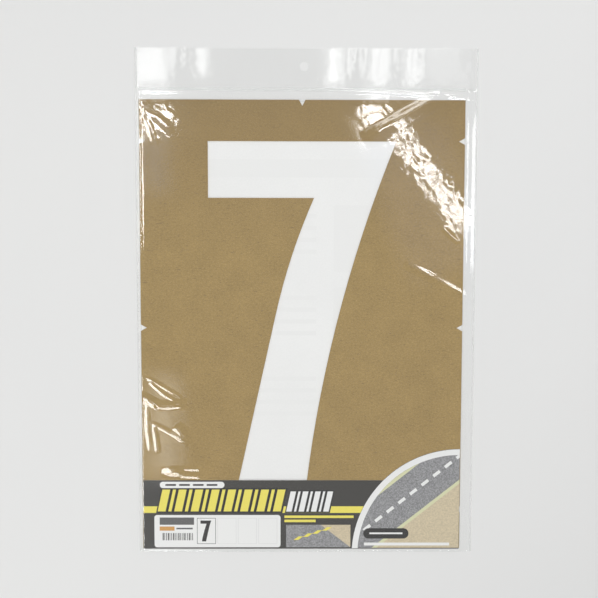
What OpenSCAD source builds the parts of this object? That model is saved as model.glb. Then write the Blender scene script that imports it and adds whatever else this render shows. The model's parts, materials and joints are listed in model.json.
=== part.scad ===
// Road marking stencil for the digit 7, packed flat with a folded card insert in a clear header bag.
// The pack lies face up: +X to the right, +Y towards the header, +Z out of its front face.

/* [Stencil board] */
// Width of the board
board_w = 300; // [260:1:360]
// Height of the board
board_h = 420; // [380:1:500]
// Thickness of the board
board_t = 0.8; // [0.5:0.1:2]
// Width of a registration notch at the edge
notch_w = 6; // [3:0.5:12]
// Depth of a registration notch
notch_d = 5.5; // [2:0.5:12]

/* [Digit] */
// Width of the cut digit
digit_w = 174; // [150:1:220]
// Height of the cut digit
digit_h = 345; // [300:1:390]
// Height of the digit's top bar
bar_h = 52; // [35:1:70]
// Underside of the bar, from its left end to the stem
bar_reach = 98; // [85:1:120]
// Start of the stem's foot, from the digit's left end
foot_x = 21.5; // [10:0.5:30]
// Width of the stem's foot
foot_w = 67.5; // [50:0.5:80]
// Bow of the stem's inner edge: its straight foot leaves its chord by this angle
inner_bow = 2.1; // [1:0.1:4]
// Radius of the stem's inner edge, above its straight stretch
inner_r = 580; // [400:10:900]
// Radius of the stem's outer edge
outer_r = 1260; // [800:10:2000]

/* [Insert] */
// Thickness of the insert card
insert_t = 0.25; // [0.15:0.05:0.5]
// Inset of the insert from each side of the board
insert_inset = 0.5; // [0:0.1:5]
// Drop of the back panel's top edge below the board's
panel_drop = 2; // [0:0.5:20]
// Height of the front flap at its straight edge
flap_h = 65.5; // [40:0.5:90]
// Radius of the disc whose quarter rises from the flap
bump_r = 102; // [80:0.5:140]
// Depth of that disc's centre below the fold
bump_drop = 6.5; // [0:0.5:15]

/* [Bag] */
// Thickness of the film
film_t = 0.05; // [0.03:0.01:0.1]
// Slip gap between layers that slide past each other
slip = 0.15; // [0.1:0.05:0.4]
// Film margin to the left of the board
left_margin = 3.5; // [2.5:0.5:20]
// Film margin to the right of the board
right_margin = 11.5; // [2.5:0.5:20]
// Room between the insert's fold and the bag's bottom fold
bottom_gap = 2; // [1:0.5:10]
// Width of a side weld
weld_w = 1; // [0.5:0.1:2]

/* [Header] */
// Room between the top of the board and the header seal
seal_gap = 8.3; // [4:0.1:20]
// Height of the seal's rib along the pack
seal_h = 2.5; // [1:0.1:5]
// Rise of the seal's rib above the film
seal_t = 0.05; // [0.02:0.01:0.2]
// Height of the header above the seal
header_h = 36; // [32:0.5:60]
// Diameter of the hang hole
hang_hole_d = 8; // [5:0.5:10]
// Depth of the hang hole's centre below the header's top edge
hang_hole_drop = 16.6; // [8:0.1:20]
// Place of the hang hole along X, from the bag's middle
hang_hole_x = -2.4; // [-20:0.1:20]

/* [Closing lip] */
// Depth of the lip's fold line below the header seal
mouth_drop = 1; // [0.5:0.1:4]
// Gap that stands for the lip's fold line
lip_fold = 0.3; // [0.2:0.1:0.8]
// Inset of the lip from each side of the bag
lip_inset = 2.5; // [2:0.5:10]
// Inset of the lip's free edge from the header's top edge
lip_drop = 0.5; // [0:0.1:4]
// Inset of the adhesive strip from each end of the lip
strip_inset = 2; // [0.5:0.5:10]
// Thickness of the adhesive strip
strip_t = 0.05; // [0.02:0.01:0.08]

/* [Hidden] */
$fn = 96;
// Segments of the digit's long arcs
arc_fn = 720;

// Levels, from the surface that the pack lies on upwards
panel_z = film_t + slip;
board_z = panel_z + insert_t + slip;
flap_z = board_z + board_t + slip;
front_z = flap_z + insert_t + slip;
front_top = front_z + film_t;

// The two folds: half tubes about the middle of what they wrap
insert_fold_r = (flap_z + insert_t - panel_z) / 2;
bag_fold_r = front_top / 2;

// Width of the bag and sides of what it holds
bag_w = left_margin + board_w + right_margin;
bag_x = -bag_w / 2;
board_x = bag_x + left_margin;
insert_x = board_x + insert_inset;
insert_w = board_w - 2 * insert_inset;

// Places along the pack, centred on its full height
bag_h = bag_fold_r + bottom_gap + insert_fold_r + board_h + seal_gap + seal_h + header_h;
bag_y = -bag_h / 2;
bag_top = bag_y + bag_h;
fold_y = bag_y + bag_fold_r;
board_y = fold_y + bottom_gap + insert_fold_r;
seal_y = board_y + board_h + seal_gap;
hole_y = bag_top - hang_hole_drop;

// The back film ends at its mouth, where the lip behind the header folds
mouth_y = seal_y - mouth_drop;
lip_x = bag_x + lip_inset;
lip_w = bag_w - 2 * lip_inset;
lip_y = mouth_y + lip_fold / 2;
lip_top = bag_top - lip_drop;

// Corners of the digit on the board
digit_x = (board_w - digit_w) / 2;
digit_y = (board_h - digit_h) / 2;
digit_right = digit_x + digit_w;
digit_top = digit_y + digit_h;
bar_y = digit_top - bar_h;
foot_left = [digit_x + foot_x, digit_y];
foot_right = [digit_x + foot_x + foot_w, digit_y];

// Centre of the circle of radius r through p and q, on the right of the way from p to q
function arc_centre(p, q, r) =
    let (d = q - p, depth = sqrt(r * r - d * d / 4))
    (p + q) / 2 + depth * [d[1], -d[0]] / norm(d);

// The outer edge is one arc from the foot to the bar's top corner
outer_c = arc_centre(foot_right, [digit_right, digit_top], outer_r);

// The inner edge leaves the foot straight, then turns into an arc that ends under the bar
chord = [digit_x + bar_reach, bar_y] - foot_left;
lean = atan2(chord[0], chord[1]) - inner_bow;
chord_rise = norm(chord) * cos(inner_bow);
chord_run = norm(chord) * sin(inner_bow);
bend_at = chord_rise - sqrt(chord_run * (2 * inner_r - chord_run));

// What lies right of the stem's inner edge, with the foot at the origin and its straight stretch along Y
module stem_side() {
    translate([0, bend_at - inner_r])
        square(inner_r);
    translate([inner_r, bend_at])
        circle(inner_r, $fn = arc_fn);
}

// Outline of the digit: a bar and a stem, both overlong at the right, where the outer arc cuts them
module digit_outline() {
    difference() {
        union() {
            translate([digit_x, bar_y])
                square([digit_w + bar_h, bar_h]);
            intersection() {
                translate([digit_x, digit_y])
                    square([digit_w, digit_h - bar_h / 2]);
                translate(foot_left)
                    rotate(-lean)
                        stem_side();
            }
        }
        translate(outer_c)
            circle(outer_r, $fn = arc_fn);
    }
}

// V-shaped notch that points up from the board's bottom edge
module notch() {
    polygon([[-notch_w / 2, 0], [notch_w / 2, 0], [0, notch_d]]);
}

// Notches at the middle of the top and bottom edges, and beside the digit's top, middle and foot
module notches() {
    translate([board_w / 2, 0])
        notch();
    translate([board_w / 2, board_h])
        rotate(180)
            notch();
    for (y = [digit_y, board_h / 2, digit_top]) {
        translate([0, y])
            rotate(-90)
                notch();
        translate([board_w, y])
            rotate(90)
                notch();
    }
}

// Half tube along X that opens towards +Y, from its outer radius, wall and length
module half_tube(r, wall, length) {
    rotate([90, 0, 90])
        linear_extrude(length)
            intersection() {
                difference() {
                    circle(r);
                    circle(r - wall);
                }
                translate([-r, -r])
                    square([r, 2 * r]);
            }
}

// Hang hole through both layers of the header
module hang_hole() {
    translate([hang_hole_x, hole_y, -film_t])
        cylinder(d = hang_hole_d, h = front_top + 2 * film_t);
}

// Side seam: film that slopes from the edge of the front film to the weld at the bag's side
module side_seam(margin) {
    rotate([90, 0, 0])
        linear_extrude(bag_h)
            polygon([
                [0, film_t], [weld_w, film_t], [margin, front_z],
                [margin, front_top], [weld_w, 2 * film_t], [0, 2 * film_t]
            ]);
}

module stencil_board() {
    color("#a28b62")
        translate([board_x, board_y, board_z])
            linear_extrude(board_t)
                difference() {
                    square([board_w, board_h]);
                    digit_outline();
                    notches();
                }
}

module insert_back_panel() {
    color("#ecece8")
        translate([insert_x, board_y, panel_z])
            cube([insert_w, board_h - panel_drop, insert_t]);
}

module insert_fold() {
    color("#52524d")
        translate([insert_x, board_y, panel_z + insert_fold_r])
            half_tube(insert_fold_r, insert_t, insert_w);
}

module insert_front_flap() {
    color("#52524d")
        translate([insert_x, board_y, flap_z])
            linear_extrude(insert_t)
                union() {
                    square([insert_w, flap_h]);
                    intersection() {
                        translate([insert_w, -bump_drop])
                            circle(bump_r);
                        translate([insert_w - bump_r, 0])
                            square(bump_r);
                    }
                }
}

module bag_front_film() {
    color("#dfe4e6", 0.3)
        difference() {
            translate([board_x, fold_y, front_z])
                cube([board_w, bag_top - fold_y, film_t]);
            hang_hole();
        }
}

module bag_back_film() {
    color("#dfe4e6", 0.3)
        translate([bag_x, fold_y, 0])
            cube([bag_w, mouth_y - lip_fold / 2 - fold_y, film_t]);
}

module bag_bottom_fold() {
    color("#dfe4e6", 0.3)
        translate([board_x, fold_y, bag_fold_r])
            half_tube(bag_fold_r, film_t, board_w);
}

module bag_left_seam() {
    color("#dfe4e6", 0.3)
        translate([bag_x, bag_top, 0])
            side_seam(left_margin);
}

module bag_right_seam() {
    color("#dfe4e6", 0.3)
        translate([bag_x + bag_w, bag_top, 0])
            mirror([1, 0, 0])
                side_seam(right_margin);
}

module header_seal() {
    color("#e8ecee", 0.5)
        translate([board_x, seal_y, front_top])
            cube([board_w, seal_h, seal_t]);
}

module closing_lip() {
    color("#dfe4e6", 0.3)
        difference() {
            translate([lip_x, lip_y, 0])
                cube([lip_w, lip_top - lip_y, film_t]);
            hang_hole();
        }
}

module lip_adhesive_strip() {
    color("#eef1ee", 0.6)
        translate([lip_x + strip_inset, seal_y, film_t])
            cube([lip_w - 2 * strip_inset, seal_h, strip_t]);
}

stencil_board();
insert_back_panel();
insert_fold();
insert_front_flap();
bag_front_film();
bag_back_film();
bag_bottom_fold();
bag_left_seam();
bag_right_seam();
header_seal();
closing_lip();
lip_adhesive_strip();
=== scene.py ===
# Looks of a packed road marking stencil: kraft board, printed card insert and a wrinkled clear film bag.
import json
import math

import bpy
import numpy as np
from mathutils import Matrix, Vector, noise


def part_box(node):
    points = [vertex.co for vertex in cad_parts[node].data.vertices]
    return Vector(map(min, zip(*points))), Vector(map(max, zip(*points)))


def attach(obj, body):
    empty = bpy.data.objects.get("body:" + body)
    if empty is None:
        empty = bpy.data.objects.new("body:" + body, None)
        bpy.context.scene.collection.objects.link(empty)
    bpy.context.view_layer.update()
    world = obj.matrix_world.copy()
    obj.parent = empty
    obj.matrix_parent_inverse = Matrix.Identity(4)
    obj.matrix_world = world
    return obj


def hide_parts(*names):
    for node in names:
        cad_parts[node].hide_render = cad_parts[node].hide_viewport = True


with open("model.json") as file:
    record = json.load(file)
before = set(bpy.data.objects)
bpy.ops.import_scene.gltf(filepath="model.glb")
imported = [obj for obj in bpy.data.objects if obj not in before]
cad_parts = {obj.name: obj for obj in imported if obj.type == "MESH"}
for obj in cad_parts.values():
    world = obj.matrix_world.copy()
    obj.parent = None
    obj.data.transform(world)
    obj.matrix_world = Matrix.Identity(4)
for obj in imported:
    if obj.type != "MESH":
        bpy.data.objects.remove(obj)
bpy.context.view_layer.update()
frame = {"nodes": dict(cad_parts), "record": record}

MM = 0.001
scene = bpy.context.scene
nodes = frame["nodes"]


# Places that come from the frame, in millimetres

def corners(node):
    low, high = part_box(node)
    return low / MM, high / MM


board_low, board_high = corners("stencil_board")
panel_low, panel_high = corners("insert_back_panel")
flap_low, flap_high = corners("insert_front_flap")
front_low, front_high = corners("bag_front_film")
back_low, back_high = corners("bag_back_film")
fold_low, fold_high = corners("bag_bottom_fold")
seal_low, seal_high = corners("header_seal")
lip_low, lip_high = corners("closing_lip")
strip_low, strip_high = corners("lip_adhesive_strip")

mounts = {mount["name"]: mount for mount in frame["record"]["mounts"]}
hole_centre = Vector(mounts["hang_hole"]["pos_m"]) / MM
hole_radius = mounts["hang_hole"]["dims"]["r_mm"]

bag_left = back_low.x
bag_right = back_high.x
header_top = front_high.y
film_level = (front_low.z + front_high.z) / 2
back_level = (back_low.z + back_high.z) / 2


# Camera of the photograph: place in millimetres, directions, lens and sensor

CAMERA_PLACE = Vector((-9.87, 37.09, 606.24))
CAMERA_VIEW = Vector((0.00528, -0.05211, -0.99863))
CAMERA_UP = Vector((-0.00159, 0.99864, -0.05211))
CAMERA_LENS = 39.13
CAMERA_SENSOR = 36.0


def make_camera():
    data = bpy.data.cameras.new("camera")
    data.sensor_fit = "HORIZONTAL"
    data.sensor_width = CAMERA_SENSOR
    data.lens = CAMERA_LENS
    camera = bpy.data.objects.new("camera", data)
    scene.collection.objects.link(camera)
    back = -CAMERA_VIEW.normalized()
    right = CAMERA_UP.cross(back).normalized()
    up = back.cross(right)
    turn = Matrix((right, up, back)).transposed().to_4x4()
    camera.matrix_world = Matrix.Translation(CAMERA_PLACE * MM) @ turn
    scene.camera = camera


# Material helpers

# Range that holds most values of a noise
NOISE_RANGE = (0.3, 0.7)

# Upright part of a face's direction that tells flat faces from cut edges
FLAT_FACE = 0.5


def add(tree, kind, inputs=None, **settings):
    """A shader node of this kind, with its inputs set to values or linked to sockets."""
    made = tree.nodes.new("ShaderNode" + kind)
    for key, value in settings.items():
        setattr(made, key, value)
    for key, value in (inputs or {}).items():
        if isinstance(value, bpy.types.NodeSocket):
            tree.links.new(value, made.inputs[key])
        else:
            made.inputs[key].default_value = value
    return made


def calculate(tree, operation, first, second=0.0):
    """The result of a math node."""
    return add(tree, "Math", {0: first, 1: second}, operation=operation).outputs[0]


def new_material(name):
    material = bpy.data.materials.new(name)
    material.use_nodes = True
    material.node_tree.nodes.clear()
    return material, material.node_tree


def finished(material, shader):
    """The material, with this shader on its surface."""
    add(material.node_tree, "OutputMaterial", {"Surface": shader.outputs[0]})
    return material


def place(tree, stretch=(1, 1, 1)):
    """Coordinates in metres in the piece's own frame, stretched."""
    coordinates = add(tree, "TexCoord").outputs["Object"]
    return add(tree, "Mapping", {"Vector": coordinates, "Scale": stretch}).outputs["Vector"]


def grain(tree, scale, detail=2.0, stretch=(1, 1, 1), rough=0.5):
    """A noise value from 0 to 1, with scale in lumps per metre."""
    made = add(tree, "TexNoise",
               {"Vector": place(tree, stretch), "Scale": scale, "Detail": detail, "Roughness": rough})
    return made.outputs["Fac"]


def ramp(tree, value, low, high):
    """value from low to high, spread to 0 to 1."""
    made = add(tree, "MapRange", {"Value": value, "From Min": low, "From Max": high})
    return made.outputs["Result"]


def spread(tree, value, low, high):
    """value from 0 to 1, spread to low to high."""
    made = add(tree, "MapRange", {"Value": value, "To Min": low, "To Max": high})
    return made.outputs["Result"]


def blend_colours(tree, factor, first, second):
    """The first colour where the factor is 0, and the second where it is 1."""
    ends = [(*end, 1) if isinstance(end, tuple) else end for end in (first, second)]
    inputs = {"Factor": factor, 6: ends[0], 7: ends[1]}
    return add(tree, "Mix", inputs, data_type="RGBA").outputs[2]


def upright(tree):
    """Upright part of the direction in which a face looks."""
    normal = add(tree, "NewGeometry").outputs["True Normal"]
    return add(tree, "SeparateXYZ", {"Vector": normal}).outputs["Z"]


def face_up(tree):
    """1 on faces that look up, 0 on cut edges and faces that look down."""
    return calculate(tree, "GREATER_THAN", upright(tree), FLAT_FACE)


def cut_edge(tree):
    """1 on cut edges, 0 on flat faces."""
    return calculate(tree, "LESS_THAN", calculate(tree, "ABSOLUTE", upright(tree)), FLAT_FACE)


def bump(tree, height, strength, distance, under=None):
    """A surface with these heights, on top of another bumped one if it is given."""
    inputs = {"Height": height, "Strength": strength, "Distance": distance}
    if under is not None:
        inputs["Normal"] = under
    return add(tree, "Bump", inputs).outputs["Normal"]


# Kraft board: colours (the dark fibre colour is also that of the painted shade), weight of its speckle, and
# from where to where along Y, in metres, painted shade darkens it towards its top
KRAFT_DARK = (0.25, 0.169, 0.057)
KRAFT_LIGHT = (0.434, 0.297, 0.11)
KRAFT_FIBRE_AND_SHADE = (0.225, 0.152, 0.066)
KRAFT_CORE = (0.47, 0.36, 0.2)
KRAFT_SPECKLE = 2.0
KRAFT_PAINTED_SHADE_SPAN = (0.05, 0.32)


def make_kraft():
    """Kraft board: fine speckle, long fibres, soft clouds, painted shade towards its top and a paler cut
    edge.
    """
    material, tree = new_material("kraft_board")
    speckle = grain(tree, 620, detail=3.0, rough=0.7)
    fibres = grain(tree, 520, stretch=(0.8, 2.4, 1))
    clouds = grain(tree, 40, detail=3.0)
    tone = calculate(tree, "MULTIPLY", ramp(tree, speckle, *NOISE_RANGE), KRAFT_SPECKLE)
    tone = calculate(tree, "ADD", tone, ramp(tree, fibres, *NOISE_RANGE))
    tone = calculate(tree, "ADD", tone, ramp(tree, clouds, 0.2, 0.8))
    colour = blend_colours(tree, ramp(tree, tone, 0.4, 3.6), KRAFT_DARK, KRAFT_LIGHT)
    # Painted shade: the board is darkened towards its top edge, in the colour of its dark fibres
    along = add(tree, "SeparateXYZ", {"Vector": place(tree)}).outputs["Y"]
    colour = blend_colours(tree, ramp(tree, along, *KRAFT_PAINTED_SHADE_SPAN), colour, KRAFT_FIBRE_AND_SHADE)
    dark_fibres = ramp(tree, grain(tree, 420, detail=1.0, stretch=(0.5, 2.6, 1)), 0.68, 0.78)
    colour = blend_colours(tree, dark_fibres, colour, KRAFT_FIBRE_AND_SHADE)
    colour = blend_colours(tree, cut_edge(tree), colour, KRAFT_CORE)
    shader = add(tree, "BsdfPrincipled", {
        "Base Color": colour,
        "Roughness": spread(tree, speckle, 0.72, 0.92),
        "Specular IOR Level": 0.25,
        "Normal": bump(tree, fibres, strength=0.25, distance=0.0001),
    })
    return finished(material, shader)


CARD_WHITE = (0.87, 0.87, 0.855)
CARD_SHADE = (0.83, 0.83, 0.815)
CARD_CORE = (0.8, 0.79, 0.75)


def make_card():
    """Inside of the card sheet: white, with faint paper grain."""
    material, tree = new_material("insert_card")
    fibres = grain(tree, 700, detail=3.0)
    clouds = grain(tree, 14)
    tone = calculate(tree, "ADD", ramp(tree, fibres, *NOISE_RANGE), ramp(tree, clouds, *NOISE_RANGE))
    colour = blend_colours(tree, ramp(tree, tone, 0.2, 1.8), CARD_SHADE, CARD_WHITE)
    colour = blend_colours(tree, cut_edge(tree), colour, CARD_CORE)
    shader = add(tree, "BsdfPrincipled", {
        "Base Color": colour,
        "Roughness": spread(tree, fibres, 0.55, 0.75),
        "Specular IOR Level": 0.35,
        "Normal": bump(tree, fibres, strength=0.08, distance=0.00005),
    })
    return finished(material, shader)


# Print on the card: charcoal, cracks at the fold, press dots per metre, and gloss
PRINT_CHARCOAL = (0.033, 0.031, 0.027)
PRINT_CHARCOAL_LIGHT = (0.042, 0.04, 0.035)
PRINT_CRACK = (0.22, 0.215, 0.21)
PRINT_DOTS = 1500
PRINT_ROUGHNESS = (0.5, 0.62)
PRINT_SPECULAR = 0.25


def make_print():
    """Printed outside of the card: satin charcoal, with pale card at its cut edge and inside."""
    material, tree = new_material("insert_print")
    dots = grain(tree, PRINT_DOTS)
    colour = blend_colours(tree, ramp(tree, dots, *NOISE_RANGE), PRINT_CHARCOAL, PRINT_CHARCOAL_LIGHT)
    colour = blend_colours(tree, face_up(tree), CARD_CORE, colour)
    shader = add(tree, "BsdfPrincipled", {
        "Base Color": colour,
        "Roughness": spread(tree, dots, *PRINT_ROUGHNESS),
        "Specular IOR Level": PRINT_SPECULAR,
        "Normal": bump(tree, grain(tree, 90), strength=0.05, distance=0.0002),
    })
    return finished(material, shader)


def make_fold_print():
    """The same print where it turns round the bottom fold, cracked pale along the bend."""
    material, tree = new_material("insert_print_fold")
    cracks = ramp(tree, grain(tree, 160, detail=4.0, stretch=(1, 4, 4)), 0.62, 0.75)
    shader = add(tree, "BsdfPrincipled", {
        "Base Color": blend_colours(tree, cracks, PRINT_CHARCOAL_LIGHT, PRINT_CRACK),
        "Roughness": spread(tree, cracks, 0.4, 0.7),
        "Normal": bump(tree, cracks, strength=0.2, distance=0.00005),
    })
    return finished(material, shader)


def make_ink(name, colour, contrast, lumps=PRINT_DOTS):
    """A printed colour with press grain."""
    material, tree = new_material(name)
    dots = grain(tree, lumps)
    dark = tuple(part * (1 - contrast) for part in colour)
    light = tuple(min(part * (1 + contrast), 1) for part in colour)
    shader = add(tree, "BsdfPrincipled", {
        "Base Color": blend_colours(tree, ramp(tree, dots, *NOISE_RANGE), dark, light),
        "Roughness": spread(tree, dots, *PRINT_ROUGHNESS),
        "Specular IOR Level": PRINT_SPECULAR,
    })
    return finished(material, shader)


# Clear film: tints, the share that it mirrors seen straight on, how that grows, and its roughness
FILM_TINT = (0.985, 0.987, 0.985, 1)
LIP_TINT = (0.955, 0.957, 0.955, 1)
ADHESIVE_TINT = (0.97, 0.975, 0.968, 1)
FILM_SHINE = 0.06
FILM_SHINE_POWER = 5.0
FILM_GLOSS = 0.06

# Crinkled band of the film, in metres: a point on its middle line, its directions, half width and reach
CRINKLE_POINT = (0.104, 0.13, 0)
CRINKLE_ALONG = (0.616, -0.788, 0)
CRINKLE_ACROSS = (0.788, 0.616, 0)
CRINKLE_WIDTH = 0.022
CRINKLE_REACH = 0.085

# Its cells and patches per metre, their depth in metres, and the part of the band at full depth
CRINKLE_CELLS = 175
CRINKLE_PATCHES = 55
CRINKLE_DEPTH = 0.00005
CRINKLE_CORE = 0.7


def within(tree, vector, direction, size):
    """1 near the middle of a band and 0 beyond its size in this direction."""
    far = add(tree, "VectorMath", {0: vector, 1: direction}, operation="DOT_PRODUCT")
    far = calculate(tree, "ABSOLUTE", far.outputs["Value"])
    return ramp(tree, far, size, CRINKLE_CORE * size)


def crinkles(tree):
    """Heights of the fine cells into which patches of the crinkled band are crushed."""
    cells = add(tree, "TexVoronoi", {"Vector": place(tree), "Scale": CRINKLE_CELLS},
                voronoi_dimensions="2D").outputs["Distance"]
    from_point = add(tree, "VectorMath", {0: place(tree), 1: CRINKLE_POINT},
                     operation="SUBTRACT").outputs[0]
    height = calculate(tree, "MULTIPLY", cells, within(tree, from_point, CRINKLE_ACROSS, CRINKLE_WIDTH))
    height = calculate(tree, "MULTIPLY", height, within(tree, from_point, CRINKLE_ALONG, CRINKLE_REACH))
    patches = ramp(tree, grain(tree, CRINKLE_PATCHES, detail=1.0), 0.36, 0.56)
    return calculate(tree, "MULTIPLY", height, patches)


def make_film(name="clear_film", tint=FILM_TINT, crinkled=False):
    """Clear film: light passes straight through, and both sides mirror, more at a flat angle."""
    material, tree = new_material(name)
    surface = bump(tree, grain(tree, 170, detail=3.0), strength=0.08, distance=0.0002)
    if crinkled:
        surface = bump(tree, crinkles(tree), strength=1.0, distance=CRINKLE_DEPTH, under=surface)
    clear = add(tree, "BsdfTransparent", {"Color": tint})
    mirror = add(tree, "BsdfGlossy", {"Roughness": FILM_GLOSS, "Normal": surface})
    facing = add(tree, "LayerWeight", {"Blend": 0.5, "Normal": surface}).outputs["Facing"]
    flat_angle = calculate(tree, "POWER", facing, FILM_SHINE_POWER)
    share = spread(tree, flat_angle, FILM_SHINE, 1.0)
    shader = add(tree, "MixShader", {0: share, 1: clear.outputs[0], 2: mirror.outputs[0]})
    return finished(material, shader)


# Heat-sealed film: tint, milky colour, scale of its ribs, and how milky and rough it is across a rib
SEAL_TINT = (0.95, 0.955, 0.952, 1)
SEAL_MILK = (0.9, 0.905, 0.9, 1)
SEAL_RIBS = 260
SEAL_MILKINESS = (0.12, 0.3)


def make_seal_film():
    """Heat-sealed film, milky and ribbed across the seal."""
    material, tree = new_material("sealed_film")
    ribs = add(tree, "TexWave", {"Vector": place(tree), "Scale": SEAL_RIBS, "Distortion": 0.4},
               bands_direction="X").outputs["Fac"]
    share = spread(tree, ribs, *SEAL_MILKINESS)
    clear = add(tree, "BsdfTransparent", {"Color": SEAL_TINT})
    milky = add(tree, "BsdfPrincipled", {
        "Base Color": SEAL_MILK,
        "Roughness": share,
        "Normal": bump(tree, ribs, strength=0.5, distance=0.0002),
    })
    shader = add(tree, "MixShader", {0: share, 1: clear.outputs[0], 2: milky.outputs[0]})
    return finished(material, shader)


# Mesh helpers

def mesh_piece(name, points, faces, material, film=False):
    """A mesh piece from points in millimetres. Film is smooth, and takes no light from what it covers."""
    mesh = bpy.data.meshes.new(name)
    mesh.from_pydata((np.asarray(points, float) * MM).tolist(), [], faces)
    mesh.polygons.foreach_set("use_smooth", [film] * len(mesh.polygons))
    mesh.materials.append(material)
    mesh.validate()
    mesh.update()
    piece = bpy.data.objects.new(name, mesh)
    piece.visible_shadow = not film
    piece.visible_diffuse = not film
    scene.collection.objects.link(piece)
    return piece


def lines(*stops):
    """Grid lines from (place, step) stops, where each stretch is divided by about its step."""
    found = [np.array([stops[0][0]])]
    for (start, step), (end, _) in zip(stops, stops[1:]):
        count = max(1, round((end - start) / step))
        found.append(np.linspace(start, end, count + 1)[1:])
    return np.concatenate(found)


def grid_faces(rows, columns, keep=None):
    """Quads of a grid of points, row by row; keep says which of them stay."""
    corner = np.arange(rows * columns).reshape(rows, columns)
    quads = np.stack([corner[:-1, :-1], corner[:-1, 1:], corner[1:, 1:], corner[1:, :-1]], axis=-1)
    if keep is not None:
        quads = quads[keep]
    return quads.reshape(-1, 4)


def film_piece(name, points, material, keep=None):
    """A smooth piece of film from a grid of points; keep says which of its quads stay."""
    used, faces = np.unique(grid_faces(*points.shape[:2], keep), return_inverse=True)
    faces = faces.reshape(-1, 4).tolist()
    return mesh_piece(name, points.reshape(-1, 3)[used], faces, material, film=True)


def smooth_step(value, low, high):
    share = np.clip((value - low) / (high - low), 0, 1)
    return share * share * (3 - 2 * share)


def soft_noise(x, y, size, seed):
    """Smooth noise from -1 to 1 over a grid."""
    flat = [noise.noise(Vector((a / size, b / size, seed))) for a, b in zip(x.ravel(), y.ravel())]
    return np.array(flat).reshape(x.shape)


# Hang hole in a film grid: square rings of points round it, up to this reach, are drawn to circles

HOLE_REACH = 12.0
TINY = 1e-6


def hole_distance(x, y):
    return np.maximum(np.abs(x - hole_centre.x), np.abs(y - hole_centre.y))


def open_hole(x, y):
    """The grid's points, moved so that the ring at the hole's radius is round."""
    across = x - hole_centre.x
    along = y - hole_centre.y
    square = hole_distance(x, y)
    straight = np.maximum(np.hypot(across, along), TINY)
    share = np.clip((HOLE_REACH - square) / (HOLE_REACH - hole_radius), 0, 1)
    factor = 1 + share * (square / straight - 1)
    return hole_centre.x + across * factor, hole_centre.y + along * factor


def outside_hole(x_lines, y_lines):
    """True for each quad of the grid that stays beside the hole."""
    x, y = np.meshgrid((x_lines[:-1] + x_lines[1:]) / 2, (y_lines[:-1] + y_lines[1:]) / 2)
    return hole_distance(x, y) > hole_radius


# Wrinkles of the front film, in millimetres: crest line, half width and height of each crease
CREASES = [
    ([(-149.3, -67.8), (-117, -87.1)], 2.1, 0.27),
    ([(-146.5, -71.8), (-142.9, -75.7), (-132.8, -84.5), (-121.5, -90.6), (-115.5, -93.9)], 2.4, 0.29),
    ([(-155, -85.5), (-137, -95.4)], 6, 0.52),
    ([(-142, -94.4), (-129, -94.8), (-112, -92.6)], 5.5, 0.75),
    ([(-148.4, -93.5), (-148.3, -118), (-145.8, -139)], 3.4, 0.16),
    ([(-142.7, -113.5), (-138.7, -140)], 3.6, 0.18),
    ([(-146, -110.5), (-140.6, -113.3), (-127.5, -120.4), (-115, -129)], 3.2, 0.3),
    ([(-123.5, -114.5), (-108.5, -129)], 7.5, 0.66),
    ([(-151, 182), (-122, 160)], 6, 0.14),
    ([(-151, 182), (-138, 147)], 5, 0.14),
    ([(126, 193), (53, 152)], 9.5, 0.85),
    ([(126, 72), (141, 58)], 4, 0.3),
    ([(92, 39), (119, 25), (146, 9), (160, 0.5)], 5, 0.38),
]

# Forked fold above the flap: the same values, and the share of its length over which each end rises
FORK = [
    ([(-138, -156.9), (-110, -157.2)], 6.4, 0.68, 0.5),
    ([(-125, -155.8), (-117, -154.4), (-96, -154.9)], 3, 0.36, 0.2),
    ([(-121, -161.0), (-96, -162.3)], 3, 0.36, 0.2),
]

# Crumpled patches of the front film: centre line, half width, height and size of the facets
CRUMPLES = [
    ([(52, 195), (76, 166), (101, 134), (129, 100), (152, 66)], 25, 0.075, 5),
    ([(-152, 186), (-130, 168)], 22, 0.09, 5),
    ([(-140, -85), (-134, -130)], 20, 0.03, 8),
]

# Part of a patch at full height, finer facets as shares of height and size, and bend of their edges
CRUMPLE_CORE = 0.4
FINE_HEIGHT = 0.5
FINE_SIZE = 0.45
FACET_BEND = 0.35

# Crumples fade from inside the board's upper edge to beyond it
CRUMPLE_FADE = (3, 1)

# Upright ripples of the header: place along X, half width and height
HEADER_RIPPLES = [
    (-118, 8, 0.12), (-70, 9, 0.1), (-20, 14, 0.15), (22, 8, 0.04), (46, 9, 0.2), (60, 8, 0.06),
    (76, 9, 0.09), (92, 8, 0.07), (108, 10, 0.12), (136, 12, 0.15),
]

# Their lean, and the height above the seal over which they rise
RIPPLE_LEAN = 0.06
RIPPLE_RISE = 32

# Height and size of the film's sag, and of the header's fine crinkle
SAG = 0.12
SAG_SIZE = 55
HEADER_CRINKLE = 0.027
HEADER_CRINKLE_SIZE = 4

# Level of the welds, reach of the film's slope to them, and start of the header below and above the seal
WELD_LEVEL = 0.08
SEAM_INSET = 0.6
SEAM_RAMP = 1.5
HEADER_BELOW_SEAL = 1
HEADER_ABOVE_SEAL = 2

# Beaded fold along the board's left edge: inset, ends along Y, half width, height, wander and beads
LEFT_FOLD_INSET = 4.3
LEFT_FOLD_ENDS = (198, 40)
LEFT_FOLD = (1.7, 0.041)
LEFT_FOLD_WANDER = 0.6
LEFT_FOLD_BEADS = (0.2, 1.4)

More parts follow.
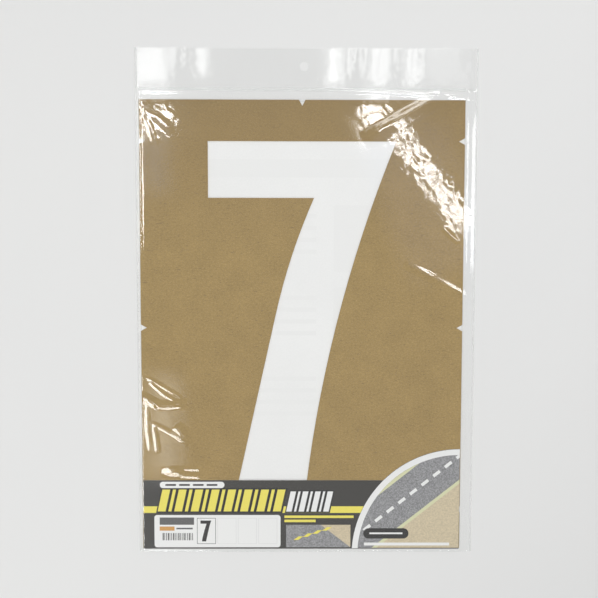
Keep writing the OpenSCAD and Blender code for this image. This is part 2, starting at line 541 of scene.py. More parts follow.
# Fold in the right margin, and two folds along the ramp from the board to the seal
RIGHT_FOLD = ([(149.5, 200), (149.5, 10)], 2.6, 0.4)
RAMP_WIDTH = 2.4
RAMP_PLACE = (0.15, 0.85)
RAMP_LEFT_ENDS = (-175, 40)
RAMP_LEFT_RISE = 1
RAMP_LEFT_HEIGHT = 0.17
RAMP_RIGHT_FOLD = ([(-5, 197), (62, 195.8), (146, 190.4), (175, 188.6)], RAMP_WIDTH, 0.24, 0.15)
RAMP_LEAST = 0.4


def ridge(distance, width):
    """Cross-section of a fold: round crest and soft foot."""
    return np.clip(1 - (distance / width) ** 2, 0, 1) ** 2


def along_path(x, y, path):
    """Distance of each point from a line of points, and its share of the way along it."""
    nearest = np.full(x.shape, np.inf)
    way = np.zeros(x.shape)
    done = 0.0
    for start, end in zip(path, path[1:]):
        run = np.subtract(end, start)
        share = ((x - start[0]) * run[0] + (y - start[1]) * run[1]) / (run @ run)
        share = np.clip(share, 0, 1)
        distance = np.hypot(x - start[0] - share * run[0], y - start[1] - share * run[1])
        length = math.dist(start, end)
        way = np.where(distance < nearest, done + share * length, way)
        nearest = np.minimum(distance, nearest)
        done += length
    return nearest, way / done


def crease(x, y, path, width, height):
    """A fold along a line of points that fades at both ends."""
    distance, share = along_path(x, y, path)
    return height * ridge(distance, width) * np.sqrt(np.clip(4 * share * (1 - share), 0, 1))


def slow_crease(x, y, path, width, height, taper):
    """A fold that rises from both ends over a share of its length, without a step."""
    distance, share = along_path(x, y, path)
    return height * ridge(distance, width) * smooth_step(np.minimum(share, 1 - share), 0, taper)


def corner_height(i, j):
    """A scattered height from 0 to 1 for each corner of a lattice, the same on each run."""
    return np.modf(np.abs(np.sin(12.9898 * i + 78.233 * j)) * 43758.5453)[0]


def facets(x, y, size):
    """Heights from 0 to 1 of a sheet that is creased into flat, bent-edged triangles."""
    u = x / size + FACET_BEND * soft_noise(x, y, size, seed=4.4)
    v = y / size + FACET_BEND * soft_noise(x, y, size, seed=7.9)
    i = np.floor(u)
    j = np.floor(v)
    u = u - i
    v = v - j
    upper = u + v > 1
    right_share = np.where(upper, 1 - v, u)
    top_share = np.where(upper, 1 - u, v)
    corner = np.where(upper, corner_height(i + 1, j + 1), corner_height(i, j))
    height = corner * (1 - right_share - top_share)
    return height + corner_height(i + 1, j) * right_share + corner_height(i, j + 1) * top_share


def crumple(x, y, path, width, height, size):
    """Crumpled film along a line of points: large facets and finer ones on them."""
    share = smooth_step(along_path(x, y, path)[0], width, CRUMPLE_CORE * width)
    inside = share > 0
    near_x = x[inside]
    near_y = y[inside]
    fine = FINE_HEIGHT * facets(near_x, near_y, FINE_SIZE * size)
    result = np.zeros(x.shape)
    result[inside] = facets(near_x, near_y, size) + fine
    return height * result * share


# The bag's film: front and header, round the bottom fold, and back to the mouth

def front_height(x, y):
    """Height of the front film: over the board and header, down to the welds, with its wrinkles."""
    header = smooth_step(y, seal_low.y - HEADER_BELOW_SEAL, seal_high.y + HEADER_ABOVE_SEAL)
    left_foot = board_low.x + SEAM_INSET + header * (bag_left + SEAM_RAMP - board_low.x - SEAM_INSET)
    right_foot = board_high.x - SEAM_INSET + header * (bag_right - SEAM_RAMP - board_high.x + SEAM_INSET)
    inner = np.minimum(smooth_step(x, bag_left, left_foot), smooth_step(x, bag_right, right_foot))
    height = SAG * (1 + soft_noise(x, y, SAG_SIZE, seed=3.1))
    for fold in CREASES:
        height += crease(x, y, *fold)
    height += np.max([slow_crease(x, y, *fold) for fold in FORK], axis=0)
    on_board = smooth_step(y, board_high.y + CRUMPLE_FADE[1], board_high.y - CRUMPLE_FADE[0])
    for patch in CRUMPLES:
        height += on_board * crumple(x, y, *patch)
    ripples = smooth_step(y, seal_high.y, seal_high.y + RIPPLE_RISE)
    for at, width, rise in HEADER_RIPPLES:
        crest = at + RIPPLE_LEAN * (y - hole_centre.y)
        height += ripples * rise * ridge(x - crest, width)
    height += header * HEADER_CRINKLE * soft_noise(x, y, HEADER_CRINKLE_SIZE, seed=9.7)
    height += edge_creases(x, y)
    return WELD_LEVEL + inner * (film_level - WELD_LEVEL + height)


def edge_creases(x, y):
    """Folds along the board's left edge, in the right margin and along the ramp to the seal."""
    wander = 0.5 + 0.5 * soft_noise(x, y, size=14, seed=5.3)
    beads = 0.5 + 0.5 * soft_noise(x, y, size=5, seed=1.7)
    shift = LEFT_FOLD_WANDER * soft_noise(np.zeros(y.shape), y, size=6, seed=2.2)
    left_x = board_low.x + LEFT_FOLD_INSET
    left = crease(x + shift, y, [(left_x, end) for end in LEFT_FOLD_ENDS], *LEFT_FOLD)
    left = left * (LEFT_FOLD_BEADS[0] + LEFT_FOLD_BEADS[1] * beads)
    right = crease(x, y, *RIGHT_FOLD)
    ramp_y = RAMP_PLACE[0] * board_high.y + RAMP_PLACE[1] * seal_low.y
    left_end, right_end = RAMP_LEFT_ENDS
    path = [(left_end, ramp_y), (right_end, ramp_y + RAMP_LEFT_RISE)]
    top = crease(x, y, path, RAMP_WIDTH, RAMP_LEFT_HEIGHT)
    top += slow_crease(x, y, *RAMP_RIGHT_FOLD)
    return left + top * (RAMP_LEAST + wander) + right * wander


# Places at which the film's grid changes, so that it is fine where the film is wrinkled
LEFT_WRINKLES_TO = -100
RIGHT_WRINKLES_FROM = 36
LOW_WRINKLES = (-168, -66)
HIGH_WRINKLES = (0, 45)
FOLD_ROWS = 8
BACK_STEP = 30


def film_columns():
    """Grid lines across the bag, close at margins and wrinkles and exact at the hang hole."""
    return lines((bag_left, 0.6), (board_low.x + 4, 0.85), (LEFT_WRINKLES_TO, 3.0),
                 (hole_centre.x - HOLE_REACH, 1.0), (hole_centre.x + HOLE_REACH, 2.4),
                 (RIGHT_WRINKLES_FROM, 1.1), (board_high.x - 2, 0.8), (bag_right, 1))


def film_rows():
    """Grid lines along the front film, close at wrinkles and seal and exact at the hang hole."""
    return lines((fold_high.y, 0.5), (fold_high.y + 1, 5.0), (LOW_WRINKLES[0], 0.85), (LOW_WRINKLES[1], 3.3),
                 (HIGH_WRINKLES[0], 1.5), (HIGH_WRINKLES[1], 1.05), (board_high.y - 2, 0.7),
                 (seal_high.y + 2, 1.0), (hole_centre.y - HOLE_REACH, 1.0),
                 (hole_centre.y + HOLE_REACH, 1.0), (header_top, 1))


def fold_points(top_row):
    """Rows of the bottom fold, from the front film's lowest row down to the back film."""
    middle = (top_row[:, 2] + back_level) / 2
    radius = (top_row[:, 2] - back_level) / 2
    depth = fold_high.y - fold_low.y
    rows = []
    for angle in np.linspace(0, math.pi, FOLD_ROWS + 1)[1:]:
        y = top_row[:, 1] - depth * math.sin(angle)
        rows.append(np.stack([top_row[:, 0], y, middle + radius * math.cos(angle)], axis=-1))
    return np.array(rows)


def make_bag_film(material):
    x_lines = film_columns()
    y_lines = film_rows()
    x, y = open_hole(*np.meshgrid(x_lines, y_lines))
    front = np.stack([x, y, front_height(x, y)], axis=-1)
    back_lines = lines((fold_high.y, BACK_STEP), (back_high.y, 1))[1:]
    x, y = np.meshgrid(x_lines, back_lines)
    back = np.stack([x, y, np.full(x.shape, back_level)], axis=-1)
    sheet = np.concatenate([back[::-1], fold_points(front[0])[::-1], front])
    keep_front = outside_hole(x_lines, y_lines)
    keep = np.ones((len(sheet) - 1, len(x_lines) - 1), bool)
    keep[-len(keep_front):] = keep_front
    piece = film_piece("bag_film", sheet, material, keep)
    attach(piece, "bag")
    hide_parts("bag_front_film", "bag_back_film", "bag_bottom_fold")


# Side welds: width and rise of the bead, its place round the weld's level, and wander of its edge
WELD_WIDTH = 1.3
WELD_RISE = 0.1
WELD_ABOVE = 0.01
WELD_BELOW = 0.02
WELD_WANDER = 0.25
WELD_WANDER_SIZE = 9

# Start above the bottom fold, step along the weld and points across its bead
WELD_START = 0.4
WELD_STEP = 2.5
WELD_POINTS = 6


def make_weld(name, node, side_x, inward, material):
    """Welded side of the bag: a thin bead whose inner edge wanders a little."""
    y_lines = lines((fold_low.y + WELD_START, WELD_STEP), (header_top, 1))
    shares = np.linspace(0, 1, WELD_POINTS)
    points = []
    for y in y_lines:
        width = WELD_WIDTH * (1 + WELD_WANDER * noise.noise(Vector((0, y / WELD_WANDER_SIZE, side_x))))
        for share in shares:
            bead = WELD_RISE * math.sin(math.pi * share)
            points.append((side_x + inward * share * width, y, WELD_LEVEL + WELD_ABOVE + bead))
        for share in shares[-2:0:-1]:
            points.append((side_x + inward * share * width, y, WELD_LEVEL - WELD_BELOW))
    ring = 2 * len(shares) - 2
    corner = np.arange(len(points)).reshape(-1, ring)
    beside = np.roll(corner, -1, axis=1)
    quads = np.stack([corner[:-1], beside[:-1], beside[1:], corner[1:]], axis=-1).reshape(-1, 4)
    ends = [corner[0, ::-1].tolist(), corner[-1].tolist()]
    piece = mesh_piece(name, points, quads.tolist() + ends, material, film=True)
    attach(piece, "bag")
    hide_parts(node)


# Seal band: lift above the film, rise of its crown, rise and pitch of its ribs, and rows
SEAL_LIFT = 0.03
SEAL_CROWN = 0.06
RIB_RISE = 0.06
RIB_PITCH = 1.5
SEAL_ROWS = 6


def make_header_seal(material):
    """Heat seal under the header: a ribbed band that follows the film."""
    x_lines = lines((board_low.x, 1.0), (board_high.x, 1))
    y_lines = np.linspace(seal_low.y, seal_high.y, SEAL_ROWS)
    x, y = np.meshgrid(x_lines, y_lines)
    crown = np.sin(math.pi * (y - seal_low.y) / (seal_high.y - seal_low.y))
    ribs = 0.5 + 0.5 * np.cos(2 * math.pi * x / RIB_PITCH)
    rise = SEAL_LIFT + crown * (SEAL_CROWN + RIB_RISE * ribs)
    points = np.stack([x, y, front_height(x, y) + rise], axis=-1)
    piece = film_piece("header_seal_band", points, material)
    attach(piece, "bag")
    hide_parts("header_seal")


# Lip: height, size and reach of its ripples, and lift and rows of the adhesive on it
LIP_RIPPLE = 0.05
LIP_RIPPLE_SIZE = 30
LIP_RIPPLE_RISE = 12
ADHESIVE_LIFT = 0.03
ADHESIVE_ROWS = 5


def lip_height(x, y):
    """The lip lies on the surface under the pack, with shallow ripples."""
    rise = smooth_step(y, lip_low.y, lip_low.y + LIP_RIPPLE_RISE)
    return back_level + LIP_RIPPLE * (1 + soft_noise(x, y, LIP_RIPPLE_SIZE, seed=6.4)) * rise


def make_lip(film, adhesive):
    x_lines = lines((lip_low.x, 3.0), (hole_centre.x - HOLE_REACH, 1.0),
                    (hole_centre.x + HOLE_REACH, 3.0), (lip_high.x, 1))
    y_lines = lines((lip_low.y, 2.0), (hole_centre.y - HOLE_REACH, 1.0),
                    (hole_centre.y + HOLE_REACH, 1.5), (lip_high.y, 1))
    x, y = open_hole(*np.meshgrid(x_lines, y_lines))
    points = np.stack([x, y, lip_height(x, y)], axis=-1)
    lip = film_piece("closing_lip_film", points, film, outside_hole(x_lines, y_lines))
    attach(lip, "lip")
    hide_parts("closing_lip")

    x_lines = lines((strip_low.x, 3.0), (strip_high.x, 1))
    x, y = np.meshgrid(x_lines, np.linspace(strip_low.y, strip_high.y, ADHESIVE_ROWS))
    points = np.stack([x, y, lip_height(x, y) + ADHESIVE_LIFT], axis=-1)
    strip = film_piece("lip_adhesive_line", points, adhesive)
    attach(strip, "lip")
    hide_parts("lip_adhesive_strip")


# Print on the insert: places from a sheet's lower left corner, seen from its printed side

# Rise of each layer of ink, its gap above the card, and steps of the quarter disc's arc
INK_STEP = 0.02
INK_GAP = 0.002
ARC_STEPS = 40

# Depth of the quarter disc's centre below the flap, and its white border
BUMP_DROP = 6.5
BUMP_BORDER = 5.7
BUMP_EDGE = 0.25
flap_width = flap_high.x - flap_low.x
bump_radius = flap_high.y - flap_low.y + BUMP_DROP
panel_width = panel_high.x - panel_low.x

# Printed sides: corner, direction along X, level and direction of the layers
SHEETS = {
    "flap": (flap_low.x, 1, flap_low.y, flap_high.z, 1),
    "inside": (panel_low.x, 1, panel_low.y, panel_high.z, 1),
    "back": (panel_high.x, -1, panel_low.y, panel_low.z, -1),
}


def box_outline(left, bottom, right, top):
    return [(left, bottom), (right, bottom), (right, top), (left, top)]


def round_outline(left, bottom, right, top, radius, steps=8):
    """A rectangle with round corners."""
    centres = [(right - radius, bottom + radius, -90), (right - radius, top - radius, 0),
               (left + radius, top - radius, 90), (left + radius, bottom + radius, 180)]
    outline = []
    for x, y, start in centres:
        for step in range(steps + 1):
            angle = math.radians(start + 90 * step / steps)
            outline.append((x + radius * math.cos(angle), y + radius * math.sin(angle)))
    return outline


def slanted_outline(left, bottom, right, top, lean):
    """A bar whose top leans to the right by lean for each millimetre of height."""
    shift = lean * (top - bottom)
    return [(left, bottom), (right, bottom), (right + shift, top), (left + shift, top)]


def in_row(box, pitch, count, rise=0):
    """A box, repeated along X, each one higher by the rise."""
    left, bottom, right, top = box
    return [(left + pitch * i, bottom + rise * i, right + pitch * i, top + rise * i) for i in range(count)]


def bump_arc(radius, lowest=0.0):
    """Points on the quarter disc's edge, from the flap's right side round to its lower edge."""
    end = math.pi - math.asin((lowest + BUMP_DROP) / radius)
    angles = np.linspace(math.pi / 2, end, ARC_STEPS)
    return [(flap_width + radius * math.cos(a), -BUMP_DROP + radius * math.sin(a)) for a in angles]


def bump_side(height):
    """Place along X at which the quarter disc's edge reaches a height."""
    return flap_width - math.sqrt(bump_radius ** 2 - (height + BUMP_DROP) ** 2)


def clipped(outline, window):
    """The part of an outline inside a convex window, which runs anticlockwise."""
    result = outline
    for (ax, ay), (bx, by) in zip(window, window[1:] + window[:1]):
        side = [(bx - ax) * (y - ay) - (by - ay) * (x - ax) for x, y in result]
        kept = []
        for i, (x, y) in enumerate(result):
            before = i - 1
            if side[i] * side[before] < 0:
                share = side[before] / (side[before] - side[i])
                last_x, last_y = result[before]
                kept.append((last_x + share * (x - last_x), last_y + share * (y - last_y)))
            if side[i] >= 0:
                kept.append((x, y))
        result = kept
    return result


# Inks: colour, contrast of the press grain, and its lumps per metre where it is coarse
INKS = {
    "white": ((0.83, 0.83, 0.815), 0.02),
    "yellow": ((0.82, 0.72, 0.12), 0.05),
    "black": ((0.018, 0.017, 0.016), 0.15),
    "grey": ((0.11, 0.11, 0.11), 0.05),
    "pale": ((0.70, 0.70, 0.69), 0.02),
    "orange": ((0.60, 0.31, 0.085), 0.05),
    "sand": ((0.60, 0.51, 0.35), 0.12, 700),
    "asphalt": ((0.27, 0.27, 0.275), 0.4, 900),
    "lemon": ((0.66, 0.66, 0.42), 0.05),
    "charcoal": ((0.043, 0.041, 0.037), 0.05),
    "kraft": ((0.37, 0.265, 0.112), 0.1, 700),
    "show_through": ((0.833, 0.833, 0.818), 0.012),
}
inks = {name: make_ink("ink_" + name, *values) for name, values in INKS.items()}


def ink(name, colour, outlines, layer, sheet="flap"):
    """Flat printed shapes of one ink, as thin closed prisms in their layer on a sheet."""
    points = []
    faces = []
    x_corner, across, y_corner, level, upward = SHEETS[sheet]
    bottom = level + upward * INK_GAP
    top = level + upward * layer * INK_STEP
    for outline in outlines:
        first = len(points)
        count = len(outline)
        for height in (bottom, top):
            points += [(x_corner + across * x, y_corner + y, height) for x, y in outline]
        faces.append([first + count + i for i in range(count)])
        faces.append([first + count - 1 - i for i in range(count)])
        for i in range(count):
            j = (i + 1) % count
            faces.append([first + i, first + j, first + count + j, first + count + i])
    piece = mesh_piece(name, points, faces, inks[colour])
    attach(piece, "insert")


# Small printed digit, in the stencil's sizes: height, width, foot, underside of its bar
DIGIT_HEIGHT = 345
DIGIT_WIDTH = 174
DIGIT_FOOT = 21.5
DIGIT_BAR_LOW = 293

# How far the stem's inner and outer edge run to the right, and how they bend
DIGIT_INNER = (76.5, 1.25)
DIGIT_OUTER = (85, 0.85)


def digit_outline(left, bottom, height):
    """The stencil's digit as a small plain figure."""
    scale = height / DIGIT_HEIGHT
    run, bend = DIGIT_INNER
    inner = [(DIGIT_FOOT + run * s ** bend, DIGIT_BAR_LOW * s) for s in np.linspace(0, 1, 7)]
    run, bend = DIGIT_OUTER
    outer = [(DIGIT_WIDTH - run * s ** bend, DIGIT_HEIGHT * (1 - s)) for s in np.linspace(0, 1, 9)]
    whole = inner + [(0, DIGIT_BAR_LOW), (0, DIGIT_HEIGHT)] + outer
    return [(left + x * scale, bottom + y * scale) for x, y in reversed(whole)]


# Top of the flap: the stripe's heights, slanted bars in place of a headline, and a pill with dashes
STRIPE = (34.1, 40.5)
SHEET_EDGE = 0.2
TITLE_BARS = (13.5, 132, 35.6, 56.6, 7.4, 2.6)
TITLE_SHADOW = 1.6
SECOND_BARS = (135, 179, 35.4, 54.8, 5.2, 2.2)
SECOND_SHADOW = 1.2
BAR_LEAN = 0.22
NARROW_BAR = 0.4
PILL = (15.7, 58, 76.7, 64.1, 3.0)
PILL_DASHES = ((21, 60.2, 31, 61.9), 13, 4)

# White panel: its frames with one digit, and plain marks in place of a label
PANEL = (10.3, 0.9, 129.7, 32.1, 2.6)
FRAMES = ((50.6, 4.2, 68.4, 29.2), 19.4, 4)
WINDOWS = ((51.0, 4.6, 68.0, 28.8), 19.4, 4)
FRAME_CORNER = (0.4, 2)
WINDOW_CORNER = (0.3, 2)
FRAME_DIGIT = (53.9, 6.6, 20.2)
LABEL = (15.3, 22.7, 47.8, 29.7)
LABEL_LINE = (31, 18.3, 46.5, 19.8)
LABEL_TAG = (15.2, 17, 29.3, 21)
MARKS = ((18, 7.7, 18, 14.7), 1.65, 18)
MARK_WIDTHS = (1.0, 0.6, 0.6)

# Lines and tile beside the panel, marks on the tile with their lean, and the start of its verge
PLAIN_LINES = [(133.4, 29.2, 199, 31.6), (133.4, 25.2, 163, 27.6)]
TILE = (135, 0.9, 196, 22.6)
TILE_MARKS = ((142, 8, 146.5, 11.4), 9, 4, 3)
TILE_MARK_LEAN = 1.4
TILE_VERGE_FROM = 168

# Road in the quarter disc: a point on it, its direction, and its bands across it
ROAD_POINT = (216, 8)
ROAD_ALONG = (0.78, 0.62)
ROAD_ENDS = (-80, 140)
ROAD = (-6, 30)
ROAD_EDGE_LINES = [(-9, -6), (30, 33)]
ROAD_DASHES = (10.5, 13.5)
DASH_LENGTH = 8
DASH_PITCH = 14
ROAD_MARGIN = 0.4
BADGE = (208.3, 9.3, 251.2, 19.3, 4.9)
BADGE_LINES = [(214, 13.6, 245.5, 15.2), (209, 2.6, 290, 5.4)]


def headline_bars(left, right, bottom, top, bar, gap, grow=0.0):
    """A row of slanted bars, wide and narrow by turns, in place of a headline."""
    bars = []
    x = left
    while x + BAR_LEAN * (top - bottom) < right:
        width = (bar, NARROW_BAR * bar)[len(bars) % 2]
        bars.append(slanted_outline(x - grow, bottom - grow, x + width + grow, top + grow, BAR_LEAN))
        x += width + gap
    return bars


def label_marks():
    """A row of upright marks, each third one wider."""
    marks = []
    for i, (left, bottom, right, top) in enumerate(in_row(*MARKS)):
        marks.append(box_outline(left, bottom, right + MARK_WIDTHS[i % 3], top))
    return marks


def make_flap_print():
    low, high = STRIPE
    stripe = [(SHEET_EDGE, low), (bump_side(low), low), (bump_side(high), high), (SHEET_EDGE, high)]
    shadows = headline_bars(*TITLE_BARS, TITLE_SHADOW) + headline_bars(*SECOND_BARS, SECOND_SHADOW)
    border = bump_arc(bump_radius - BUMP_EDGE) + bump_arc(bump_radius - BUMP_BORDER)[::-1]
    plates = [round_outline(*PILL), round_outline(*PANEL), border]
    ink("print_stripe", "yellow", [stripe], 1)
    ink("print_headline_shadow", "black", shadows, 2)
    ink("print_headline", "yellow", headline_bars(*TITLE_BARS), 3)
    ink("print_white", "white", plates + headline_bars(*SECOND_BARS), 3)

    frames = [round_outline(*box, *FRAME_CORNER) for box in in_row(*FRAMES)]
    windows = [round_outline(*box, *WINDOW_CORNER) for box in in_row(*WINDOWS)]
    dashes = [box_outline(*box) for box in in_row(*PILL_DASHES)]
    ink("print_frame", "black", frames[:1], 4)
    ink("print_empty_frames", "pale", frames[1:], 4)
    ink("print_windows", "white", windows, 5)
    ink("print_digit", "black", [digit_outline(*FRAME_DIGIT)], 6)
    ink("print_label", "grey", [box_outline(*LABEL), box_outline(*LABEL_LINE)], 4)
    ink("print_marks", "black", label_marks() + dashes, 4)
    ink("print_tag", "orange", [box_outline(*LABEL_TAG)], 4)

    _, tile_low, tile_right, tile_high = TILE
    verge = [(TILE_VERGE_FROM, tile_high), (tile_right, tile_low), (tile_right, tile_high)]
    plain_lines = [box_outline(*box) for box in PLAIN_LINES]
    tile_marks = [slanted_outline(*box, TILE_MARK_LEAN) for box in in_row(*TILE_MARKS)]
    ink("print_lines", "yellow", plain_lines + tile_marks, 5)
    ink("print_tile", "asphalt", [box_outline(*TILE)], 3)
    ink("print_tile_verge", "sand", [verge], 4)


def on_road(along, across):
    """The point at these distances along the road and across it."""
    run, rise = ROAD_ALONG
    return ROAD_POINT[0] + run * along - rise * across, ROAD_POINT[1] + rise * along + run * across


def road_band(window, low, high, start, end):
    """A band along the road, between two distances across it, inside the window."""
    band = [on_road(start, low), on_road(end, low), on_road(end, high), on_road(start, high)]
    return clipped(band, window)


def make_quarter_print():
    """A plain road from above in the quarter disc: verge, road, edge lines and centre dashes."""
    arc = bump_arc(bump_radius - BUMP_BORDER - 0.1, ROAD_MARGIN)
    window = [(flap_width - SHEET_EDGE, ROAD_MARGIN), *arc]
    edge_lines = [road_band(window, *line, *ROAD_ENDS) for line in ROAD_EDGE_LINES]
    starts = [DASH_PITCH * i for i in range(-4, 9)]
    dashes = [road_band(window, *ROAD_DASHES, start, start + DASH_LENGTH) for start in starts]
    ink("print_verge", "sand", [window], 1)
    ink("print_road", "asphalt", [road_band(window, *ROAD, *ROAD_ENDS)], 2)
    ink("print_edge_lines", "lemon", edge_lines, 2)
    ink("print_dashes", "white", [dash for dash in dashes if len(dash) > 2], 3)
    ink("print_badge", "black", [round_outline(*BADGE)], 4)
    ink("print_badge_line", "white", [box_outline(*line) for line in BADGE_LINES], 5)


# Back of the insert: a title band, three steps with plain pictures, and bars in place of text

STEP_HEIGHTS = (262, 186, 110)
STEP_BOX = (30, 0, 120, 62, 2)
STEP_BOARD = (58, 6, 92, 56)
STEP_DIGIT = (65, 12, 38)
STEP_BARS = [(136, 50, 268, 54), (136, 39, 268, 43), (136, 28, 234, 32), (136, 17, 268, 21)]
TITLE_BAND = (22, 349.5, 277, 366, 3)
FOOT_TOP = 34
FOOT_STRIPE_TOP = 39
BACK_LINES = [(32, 356, 150, 359.6), (22, 14, 120, 19), (22, 24, 80, 28)]


def raised(outline, height):
    """An outline moved up."""
    return [(x, y + height) for x, y in outline]


def show_through(outline):
    """A shape printed on the back of the panel, seen from its inside."""
    return [(panel_width - x, y) for x, y in reversed(outline)]


def make_back_print():
    boxes = [raised(round_outline(*STEP_BOX), low) for low in STEP_HEIGHTS]
    bars = [raised(box_outline(*bar), low) for low in STEP_HEIGHTS for bar in STEP_BARS]
    boards = [raised(box_outline(*STEP_BOARD), low) for low in STEP_HEIGHTS[:2]]
    digits = [raised(digit_outline(*STEP_DIGIT), low) for low in STEP_HEIGHTS]
    title = round_outline(*TITLE_BAND)
    foot = box_outline(SHEET_EDGE, SHEET_EDGE, panel_width - SHEET_EDGE, FOOT_TOP)
    stripe = box_outline(SHEET_EDGE, FOOT_TOP, panel_width - SHEET_EDGE, FOOT_STRIPE_TOP)
    plain_lines = [box_outline(*box) for box in BACK_LINES]
    seen_inside = [show_through(shape) for shape in [title] + boxes + bars]
    ink("back_print_dark", "charcoal", [title, foot] + bars, 1, "back")
    ink("back_print_stripe", "yellow", [stripe], 1, "back")
    ink("back_print_steps", "asphalt", boxes, 1, "back")
    ink("back_print_boards", "kraft", boards, 2, "back")
    ink("back_print_white", "white", [digits[0], digits[2]] + plain_lines, 3, "back")
    ink("back_print_digit", "yellow", [digits[1]], 3, "back")
    ink("print_show_through", "show_through", seen_inside, 1, "inside")


# Floor and light

# Floor: colours, half size and level in millimetres, and how far it is lit, in metres
FLOOR_WHITE = (0.785, 0.785, 0.772)
FLOOR_SHADE = (0.77, 0.77, 0.76)
FLOOR_HALF = 4000
FLOOR_LEVEL = -0.1
FLOOR_LIT_TO = 0.5
FLOOR_SHOWN_FROM = 1.3

# Light of the world, and the brightness of the background where it is seen
WORLD_LIGHT = 0.255
SHOWN = 0.775

# Heights of the lamps and veils, and the rims over which they fade
LAMP_HEIGHT = 1200
LAMP_RIM = 24
VEIL_HEIGHT = 1180
VEIL_RIM = 70

# Lamps overhead: the point of the flat front film that mirrors each, width, length, turn and radiance
LAMPS = {
    "tube_lamp": ((104, 130), 64, 156, 40, 21),
    "low_tube_lamp": ((130, 96), 75, 192, 38, 19),
    "blob_lamp": ((61, 169), 110, 118, 20, 20),
    "knot_lamp": ((86, 160.5), 106, 76, 10, 24),
    "corner_lamp": ((-135, 169.5), 102, 94, 0, 34),
    "window_lamp": ((-143, 221), 122, 150, 0, 3.1),
    "top_left_lamp": ((-175, 132), 96, 490, 0, 20),
    "low_left_lamp": ((-195, -155), 190, 510, 0, 15),
    "right_lamp": ((327, 110), 500, 480, 0, 5.5),
    "right_edge_lamp": ((177, 76), 76, 140, 0, 17),
    "fold_lamp": ((75, 264), 420, 150, 0, 9),
    "front_lamp": ((-138, -285), 300, 260, 0, 12),
    "header_lamp_a": ((25, 222), 62, 160, 0, 4.2),
    "header_lamp_b": ((66, 222.5), 80, 160, 0, 2.9),
    "header_lamp_c": ((97, 222.5), 66, 160, 0, 3.1),
    "header_lamp_d": ((-96, 224), 46, 100, 0, 4.6),
    "header_lamp_e": ((130, 221), 140, 150, 0, 0.8),
}

# Veils over the film and hazes round its glints, with a long fade: the same, and a colour if not white
VEILS = {
    "veil_low_left": ((-134, -115), 150, 340, 0, 2.6),
    "veil_top_left": ((-138, 140), 130, 280, 0, 1.4, (0.35, 0.6, 1)),
    "veil_right": ((112, 95), 300, 480, 20, 0.5, (0.15, 0.4, 1)),
    "haze_band": ((113, 121), 96, 330, 40, 13),
    "haze_knot": ((86, 161), 96, 92, 20, 14),
    "haze_blob": ((62, 168), 130, 120, 20, 7),
    "haze_corner": ((-134, 168), 120, 110, 0, 10),
}

# Soft boxes beside the pack: place, width, height and radiance
SOFT_BOXES = {
    "left_box": ((-1500, 100, 480), 1300, 700, 1.0),
    "right_box": ((1500, 100, 480), 1300, 700, 1.0),
    "front_box": ((0, -1600, 700), 1600, 700, 1.0),
    "back_box": ((0, 1700, 700), 1600, 700, 1.0),
}


def seen_directly(tree):
    """1 for rays of the camera and for what mirrors and clear pieces show, 0 for light."""
    path = add(tree, "LightPath").outputs
    seen = calculate(tree, "MAXIMUM", path["Is Camera Ray"], path["Is Glossy Ray"])
    return calculate(tree, "MAXIMUM", seen, path["Is Transmission Ray"])


def make_floor():
    """A pale floor that is lit near the pack and keeps its shade far away from it."""
    material, tree = new_material("floor")
    clouds = grain(tree, 3)
    lit = add(tree, "BsdfPrincipled", {
        "Base Color": blend_colours(tree, ramp(tree, clouds, *NOISE_RANGE), FLOOR_SHADE, FLOOR_WHITE),
        "Roughness": 0.8,
        "Specular IOR Level": 0.2,
        "Normal": bump(tree, grain(tree, 900), strength=0.05, distance=0.00005),
    })
    far = add(tree, "VectorMath", {0: place(tree)}, operation="LENGTH").outputs["Value"]
    far = ramp(tree, far, FLOOR_LIT_TO, FLOOR_SHOWN_FROM)
    share = calculate(tree, "MULTIPLY", far, seen_directly(tree))
    shown = add(tree, "Emission", {"Color": (SHOWN, SHOWN, SHOWN, 1)})
    shader = add(tree, "MixShader", {0: share, 1: lit.outputs[0], 2: shown.outputs[0]})
    finished(material, shader)
    outline = box_outline(-FLOOR_HALF, -FLOOR_HALF, FLOOR_HALF, FLOOR_HALF)
    points = [(x, y, FLOOR_LEVEL) for x, y in outline]
    floor = mesh_piece("floor", points, [[0, 1, 2, 3]], material)


def soft_edge(tree, value, rim):
    """1 in the middle of a lamp and 0 at its edges, from a place and a rim as shares of its size."""
    nearest = calculate(tree, "MINIMUM", value, calculate(tree, "SUBTRACT", 1.0, value))
    return ramp(tree, nearest, 0, rim)


def soften(data, width, length, rim):
    """Lets a lamp fade towards its edges."""
    data.use_nodes = True
    tree = data.node_tree
    tree.nodes.clear()
    spot = add(tree, "NewGeometry").outputs["Parametric"]
    parts = add(tree, "SeparateXYZ", {"Vector": spot}).outputs
    across = soft_edge(tree, parts["X"], rim / width)
    along = soft_edge(tree, parts["Y"], rim / length)
    light = add(tree, "Emission", {"Strength": calculate(tree, "MULTIPLY", across, along)})
    add(tree, "OutputLight", {"Surface": light.outputs[0]})


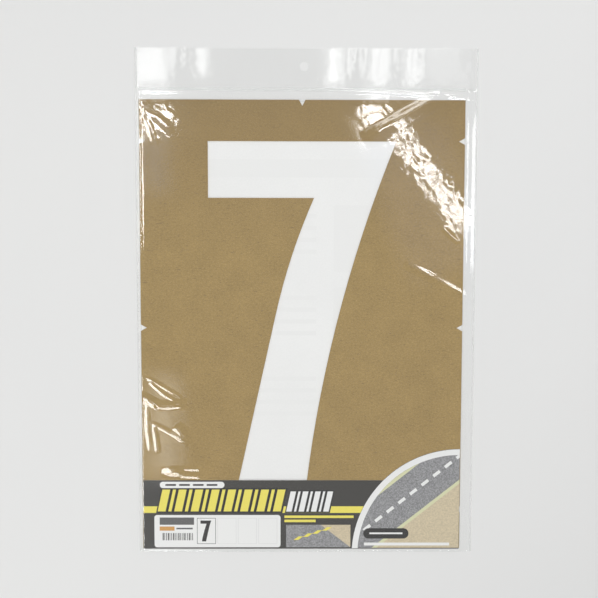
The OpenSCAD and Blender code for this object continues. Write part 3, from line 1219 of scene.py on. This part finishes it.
def add_lamp(name, centre, turn, width, length, radiance, rim, colour=(1, 1, 1)):
    """A rectangular lamp, with radiance as the brightness that a mirror shows of its middle."""
    data = bpy.data.lights.new(name, "AREA")
    data.shape = "RECTANGLE"
    data.size = width * MM
    data.size_y = length * MM
    data.color = colour
    data.energy = radiance * math.pi * data.size * data.size_y
    lamp = bpy.data.objects.new(name, data)
    lamp.matrix_world = Matrix.Translation(centre * MM) @ turn
    scene.collection.objects.link(lamp)
    soften(data, width, length, rim)


def overhead(glare, height):
    """Centre of a lamp at this height that the camera sees mirrored at this point of the flat film."""
    step = Vector(glare) - CAMERA_PLACE.xy
    mirrored = Vector(glare) + step * (height / CAMERA_PLACE.z)
    return Vector((*mirrored, height))


def make_lamps():
    for lamps, height, rim in ((LAMPS, LAMP_HEIGHT, LAMP_RIM), (VEILS, VEIL_HEIGHT, VEIL_RIM)):
        for name, (glare, width, length, angle, radiance, *colour) in lamps.items():
            turn = Matrix.Rotation(math.radians(angle), 4, "Z")
            add_lamp(name, overhead(glare, height), turn, width, length, radiance, rim, *colour)
    for name, (centre, width, height, radiance) in SOFT_BOXES.items():
        aim = (-Vector(centre)).to_track_quat("-Z", "Y").to_matrix().to_4x4()
        add_lamp(name, Vector(centre), aim, width, height, radiance, LAMP_RIM)


def make_world():
    world = bpy.data.worlds.new("studio")
    world.use_nodes = True
    tree = world.node_tree
    tree.nodes.clear()
    strength = spread(tree, seen_directly(tree), WORLD_LIGHT, SHOWN)
    light = add(tree, "Background", {"Color": (1, 1, 1, 1), "Strength": strength})
    add(tree, "OutputWorld", {"Surface": light.outputs[0]})
    scene.world = world
    scene.view_settings.view_transform = "Standard"


def dress_cad_nodes():
    """Materials of the CAD nodes that are shown as they are."""
    looks = {
        "stencil_board": make_kraft(),
        "insert_back_panel": make_card(),
        "insert_front_flap": make_print(),
        "insert_fold": make_fold_print(),
    }
    for node, material in looks.items():
        mesh = nodes[node].data
        mesh.materials.clear()
        mesh.materials.append(material)


make_camera()
make_floor()
make_world()
make_lamps()
dress_cad_nodes()
sealed = make_seal_film()
make_bag_film(make_film(crinkled=True))
make_weld("side_weld_left", "bag_left_seam", bag_left, 1, sealed)
make_weld("side_weld_right", "bag_right_seam", bag_right, -1, sealed)
make_header_seal(sealed)
make_lip(make_film("lip_film", LIP_TINT), make_film("adhesive_line", ADHESIVE_TINT))
make_flap_print()
make_quarter_print()
make_back_print()
